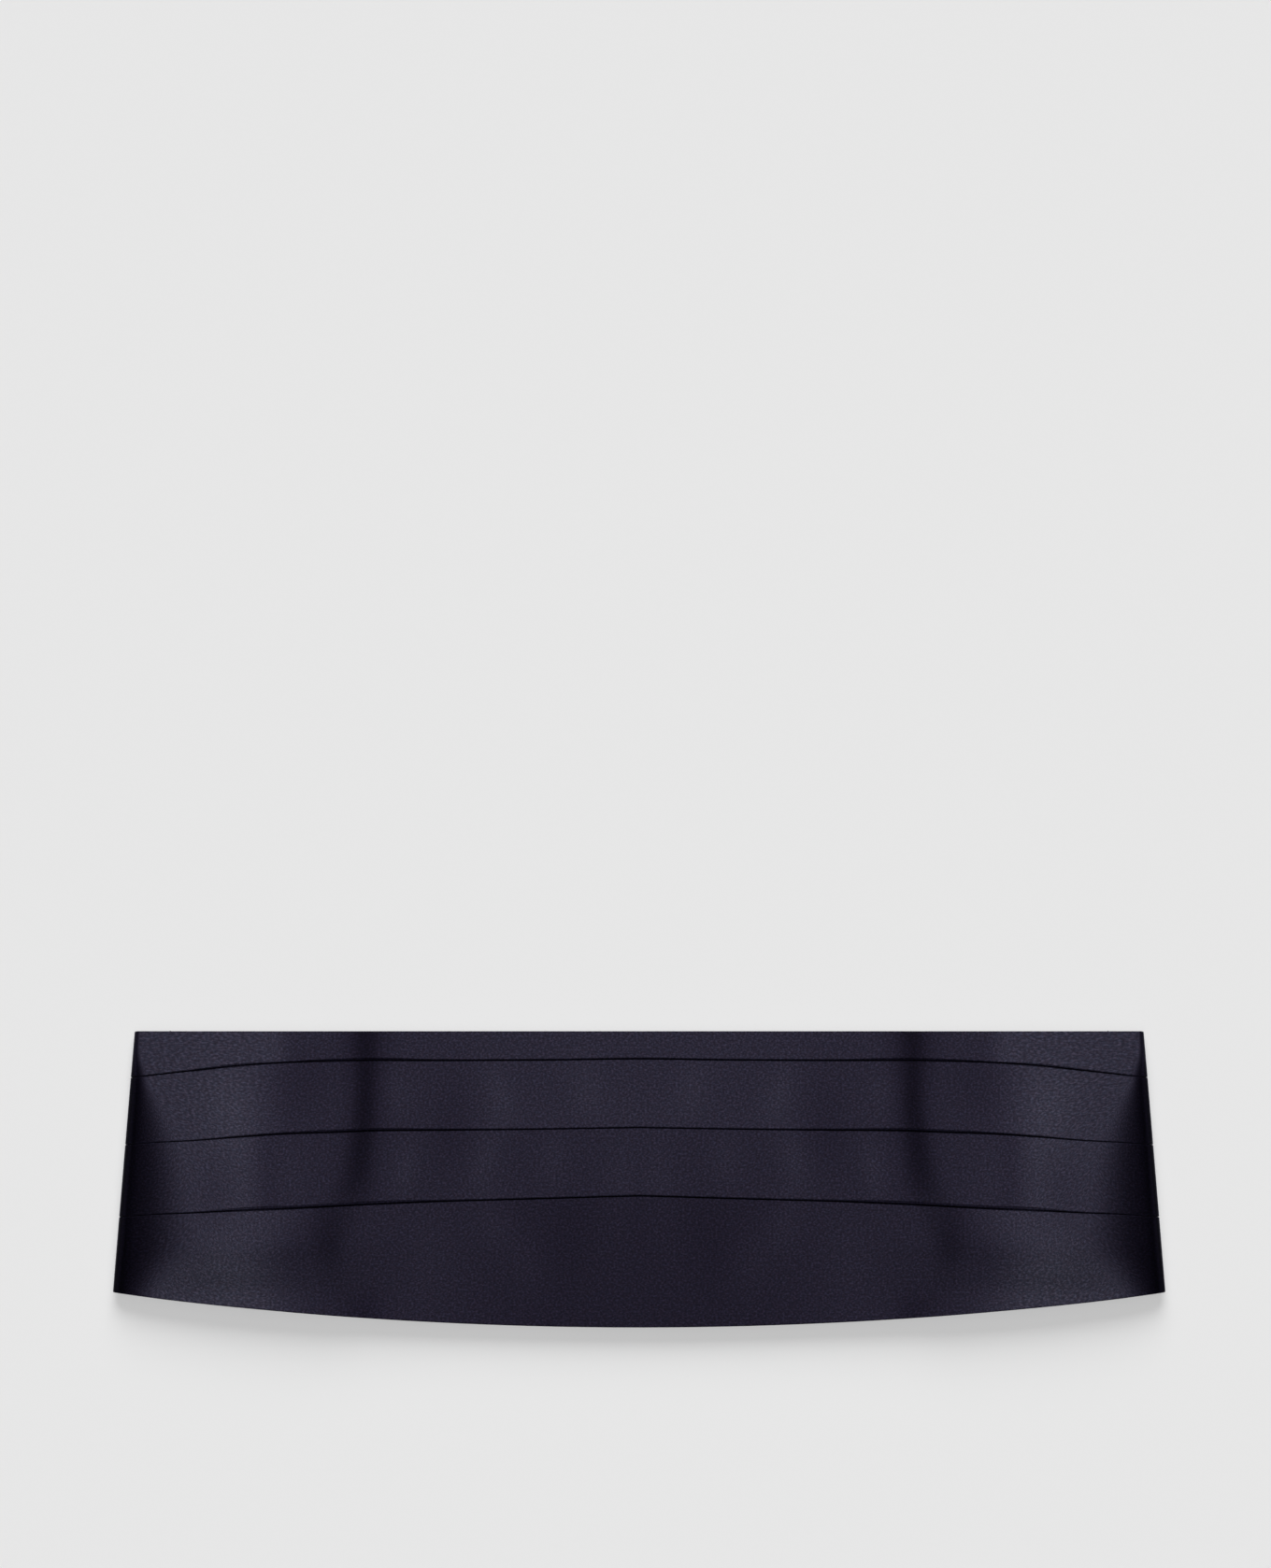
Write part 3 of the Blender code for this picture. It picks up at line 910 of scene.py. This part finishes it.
def tongue_rings():
    """The hook's tongue: out of its inner bar, over the eye's, and back under it."""
    high = BAR_HIGH + TONGUE_ROOM
    low = BAR_LOW - TONGUE_ROOM
    bend_x, bend_half = TONGUE_REACH - TONGUE_BEND, (high - low) / 2
    path = [(x, FRAME_MIDDLE + up) for x, up in TONGUE_FOOT]
    for step in range(BEND_STEPS + 1):
        angle = math.pi * step / BEND_STEPS
        path.append((bend_x + TONGUE_BEND * math.sin(angle), FRAME_MIDDLE + bend_half * math.cos(angle)))
    path.append((TONGUE_TIP, low))
    rings = []
    for index, (x, z) in enumerate(path):
        before, after = path[max(index - 1, 0)], path[min(index + 1, len(path) - 1)]
        run = math.dist(before, after)
        up_x, up_z = -(after[1] - before[1]) / run, (after[0] - before[0]) / run
        share = index / (len(path) - 1)
        half = TONGUE_HALF + (TONGUE_TIP_HALF - TONGUE_HALF) * ease(share * 2 - 1)
        section = rounded_section(half, TONGUE_THICK / 2, TONGUE_ROUND)
        rings.append([(x + up * up_x, BACK_END_Y + across, z + up * up_z) for across, up in section])
    return rings


def solid_piece(name, shapes, material):
    """One smooth piece made of several shapes, each with its points and faces."""
    points, faces = [], []
    for shape_points, shape_faces in shapes:
        first = len(points)
        points += shape_points
        faces += [tuple(first + corner for corner in face) for face in shape_faces]
    mesh = bpy.data.meshes.new(name)
    mesh.from_pydata(points, [], faces)
    mesh.shade_smooth()
    mesh.materials.append(material)
    return add_object(name, mesh)


def clasp_material():
    made, shader = principled("Dark plated metal", 0.35, 1.0)
    tree = made.node_tree
    place = tree.nodes.new("ShaderNodeTexCoord")
    marks = tree.nodes.new("ShaderNodeTexNoise")
    marks.inputs["Scale"].default_value = 900.0
    marks.inputs["Detail"].default_value = 4.0
    tree.links.new(place.outputs["Object"], marks.inputs["Vector"])
    colour = ramp(tree, marks.outputs["Fac"], ((0.35, METAL_DARK), (0.70, METAL_LIGHT)))
    tree.links.new(colour, shader.inputs["Base Color"])
    rough = tree.nodes.new("ShaderNodeMapRange")
    rough.inputs["To Min"].default_value, rough.inputs["To Max"].default_value = METAL_ROUGHNESS
    tree.links.new(marks.outputs["Fac"], rough.inputs["Value"])
    tree.links.new(rough.outputs["Result"], shader.inputs["Roughness"])
    add_relief(tree, shader, marks.outputs["Fac"], 0.15, 0.05 * MM)
    return made


plated = clasp_material()
eye_frame = swept(frame_rings(0.0, FRAME_REACH), True)
hook_frame = swept(frame_rings(-FRAME_REACH, -FRAME_GAP), True)
clasp_halves = (
    ("clasp_eye_frame", "clasp_eye", [eye_frame]),
    ("clasp_hook_frame", "clasp_hook", [hook_frame, swept(tongue_rings(), False)]),
)
for name, node, shapes in clasp_halves:
    half = solid_piece(name, shapes, plated)
    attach(half, "root")
    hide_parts(node)

# Stitches: navy thread in short machine stitches, two rows that hold each
# strap's end down on itself and one across the mouth of each back band.

STITCH = 2.0 * MM
STITCH_GAP = 0.5 * MM
THREAD = 0.16 * MM  # radius
STITCH_SUNK = 1.2  # radii that the ends of a stitch lie below the cloth
STITCH_ARCH = 2.2  # radii that its middle stands above its ends
STITCH_PINCH = 0.3  # part of the thread's radius lost at the ends
STITCH_STEPS = 6
THREAD_SIDES = 6
STITCH_MARGINS = (1.2 * MM, 0.8 * MM)  # left free at the strap's lower and upper edge
STITCH_ROWS = (
    # x, height
    (33.6 * MM, 2.5 * MM),
    (31.2 * MM, 2.5 * MM),
    (62.0 * MM, 1.78 * MM),
)
THREAD_DARK = (0.014, 0.013, 0.024)
THREAD_LIGHT = (0.034, 0.032, 0.052)


def stitch(x, y_start, y_end, height):
    """One stitch that dips into the cloth at both ends."""
    rings = []
    for step in range(STITCH_STEPS + 1):
        share = step / STITCH_STEPS
        arch = math.sin(math.pi * share)
        y = y_start + (y_end - y_start) * share
        z = height + THREAD * (STITCH_ARCH * arch - STITCH_SUNK)
        thick = THREAD * (1 - STITCH_PINCH * (1 - arch))
        ring = []
        for corner in range(THREAD_SIDES):
            angle = 2 * math.pi * corner / THREAD_SIDES
            ring.append((x + thick * math.cos(angle), y, z + thick * math.sin(angle)))
        rings.append(ring)
    return swept(rings, False)


def thread_material():
    made, shader = principled("Navy thread", 0.5, 0.0)
    tree = made.node_tree
    place = tree.nodes.new("ShaderNodeTexCoord")
    twist = tree.nodes.new("ShaderNodeTexNoise")
    twist.inputs["Scale"].default_value = 3000.0
    tree.links.new(place.outputs["Object"], twist.inputs["Vector"])
    colour = ramp(tree, twist.outputs["Fac"], ((0.3, THREAD_DARK), (0.7, THREAD_LIGHT)))
    tree.links.new(colour, shader.inputs["Base Color"])
    return made


thread = thread_material()
for side, hand in SIDES:
    shapes = []
    for x, height in STITCH_ROWS:
        y = BACK_END_Y - WEBBING_WIDTH / 2 + STITCH_MARGINS[0]
        while y + STITCH < BACK_END_Y + WEBBING_WIDTH / 2 - STITCH_MARGINS[1]:
            shapes.append(stitch(side * x, y, y + STITCH, height))
            y += STITCH + STITCH_GAP
    stitches = solid_piece(f"strap_stitches_{hand}", shapes, thread)
    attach(stitches, "root")

# Floor: a pale plain sheet under the piece, wide enough for every view. Gloss
# doesn't see it, so the rolled ends stay as dark as under the soft boxes alone.

FLOOR_HALF = 8.0
PALE = (0.8, 0.8, 0.8, 1.0)

corners = ((-1, -1), (1, -1), (1, 1), (-1, 1))
floor_corners = [(across * FLOOR_HALF, along * FLOOR_HALF, 0) for across, along in corners]
floor_mesh = bpy.data.meshes.new("floor")
floor_mesh.from_pydata(floor_corners, [], [(0, 1, 2, 3)])
floor = add_object("floor", floor_mesh)
floor.visible_glossy = False
floor_paper, floor_shader = principled("Pale floor paper", 0.9, 0.0)
floor_shader.inputs["Base Color"].default_value = PALE
floor_shader.inputs["Specular IOR Level"].default_value = 0.0
floor_mesh.materials.append(floor_paper)

# Light: one broad box overhead that the satin mirrors, a lower one from beyond
# the top edge that casts the soft shadow under the hem, and a fill on the floor.

BOX_HEIGHT = 8.0
BOX_RADIANCE = 0.555
BOX_X = math.radians(16)  # to each side, seen from the piece
BOX_Y = (math.radians(-18), math.radians(45))
KEY_TILT = math.radians(56)
KEY_SPREAD = math.radians(43)
KEY_STRENGTH = 1.04  # on the floor
FILL_STRENGTH = 2.085
FILL_SPREAD = math.radians(60)
WALL_COLOUR = (0.87, 0.88, 1.0, 1.0)
WALL_NEAR = 0.32
WALL_FAR = 0.42
WALL_TURN = (-0.6, 0.9)  # Y of the directions from near to far
WALL_FOOT = (-0.2, 0.12)  # Z of the directions between which the walls start
BELOW_WALL = 0.25  # of their strength
WALL_TOP = (0.5, 0.8)  # Z of the directions between which they end
ABOVE_WALL = 0.15  # of their strength


def lamp(name, kind, energy, place, tilt=0.0):
    data = bpy.data.lights.new(name, kind)
    data.energy = energy
    made = add_object(name, data)
    made.location = place
    made.rotation_euler = (tilt, 0.0, 0.0)
    made.visible_camera = False
    return made


near, far = (BOX_HEIGHT * math.tan(angle) for angle in BOX_Y)
box_width = 2 * BOX_HEIGHT * math.tan(BOX_X)
box_power = BOX_RADIANCE * math.pi * box_width * (far - near)
box = lamp("overhead_box", "AREA", box_power, (0, (near + far) / 2, BOX_HEIGHT))
box.data.shape = "RECTANGLE"
box.data.size = box_width
box.data.size_y = far - near

key = lamp("low_box", "SUN", KEY_STRENGTH / math.cos(KEY_TILT), (0, 4, 4), -KEY_TILT)
key.data.angle = KEY_SPREAD

fill = lamp("floor_fill", "SUN", FILL_STRENGTH, (0, 0, 6))
fill.data.angle = FILL_SPREAD
fill.data.use_shadow = False

# The floor gets its own two lights, and the piece the box overhead
floor_only = bpy.data.collections.new("floor_only")
floor_only.objects.link(floor)
fill.light_linking.receiver_collection = floor_only
key.light_linking.receiver_collection = floor_only
not_floor = bpy.data.collections.new("all_but_floor")
not_floor.objects.link(floor)
not_floor.collection_objects[0].light_linking.link_state = "EXCLUDE"
box.light_linking.receiver_collection = not_floor

world = bpy.data.worlds.new("Studio")
bpy.context.scene.world = world
world.use_nodes = True
world_nodes, world_links = world.node_tree.nodes, world.node_tree.links
backdrop = world_nodes["Background"]
backdrop.inputs["Color"].default_value = PALE
backdrop.inputs["Strength"].default_value = 1.0
room = world_nodes.new("ShaderNodeBackground")
room.inputs["Color"].default_value = WALL_COLOUR
towards = world_nodes.new("ShaderNodeTexCoord")
parts = world_nodes.new("ShaderNodeSeparateXYZ")
world_links.new(towards.outputs["Generated"], parts.inputs["Vector"])


def fade(source, places, start, end):
    """A value that goes smoothly from start to end as the source goes from one place to the other."""
    made = world_nodes.new("ShaderNodeMapRange")
    made.interpolation_type = "SMOOTHSTEP"
    made.inputs["From Min"].default_value, made.inputs["From Max"].default_value = places
    made.inputs["To Min"].default_value = start
    made.inputs["To Max"].default_value = end
    world_links.new(source, made.inputs["Value"])
    return made.outputs["Result"]


def times(first, second):
    made = world_nodes.new("ShaderNodeMath")
    made.operation = "MULTIPLY"
    world_links.new(first, made.inputs[0])
    world_links.new(second, made.inputs[1])
    return made.outputs["Value"]


# Pale walls all round, a little brighter beyond the top edge, under a dim ceiling
foot = fade(parts.outputs["Z"], WALL_FOOT, BELOW_WALL, 1.0)
top = fade(parts.outputs["Z"], WALL_TOP, 1.0, ABOVE_WALL)
turned = fade(parts.outputs["Y"], WALL_TURN, WALL_NEAR, WALL_FAR)
world_links.new(times(times(foot, top), turned), room.inputs["Strength"])
world.cycles_visibility.diffuse = False
path = world_nodes.new("ShaderNodeLightPath")
seen = world_nodes.new("ShaderNodeMixShader")
world_links.new(path.outputs["Is Camera Ray"], seen.inputs["Fac"])
world_links.new(room.outputs["Background"], seen.inputs[1])
world_links.new(backdrop.outputs["Background"], seen.inputs[2])
world_links.new(seen.outputs["Shader"], world_nodes["World Output"].inputs["Surface"])

# Camera: straight above, as in the photograph, with a long lens. The whole
# frame is 1360 by 1678 pixels of almost 0.4 mm at the height of the cloth.

PIXEL = 0.3997 * MM
FRAME_PIXELS = 1678  # from top to bottom
FRAME_HEIGHT = FRAME_PIXELS * PIXEL
CLOTH_HEIGHT = 5.0 * MM  # where the frame is measured
SENSOR = 36.0
CAMERA_HEIGHT = 7.0
CAMERA_X = -3.95 * PIXEL
CAMERA_Y = 422.95 * PIXEL

camera_data = bpy.data.cameras.new("camera")
camera_data.sensor_width = SENSOR
camera_data.lens = SENSOR * (CAMERA_HEIGHT - CLOTH_HEIGHT) / FRAME_HEIGHT
camera_data.clip_end = 100.0
camera = add_object("camera", camera_data)
camera.location = (CAMERA_X, CAMERA_Y, CAMERA_HEIGHT)
bpy.context.scene.camera = camera
bpy.context.scene.view_settings.view_transform = "Standard"
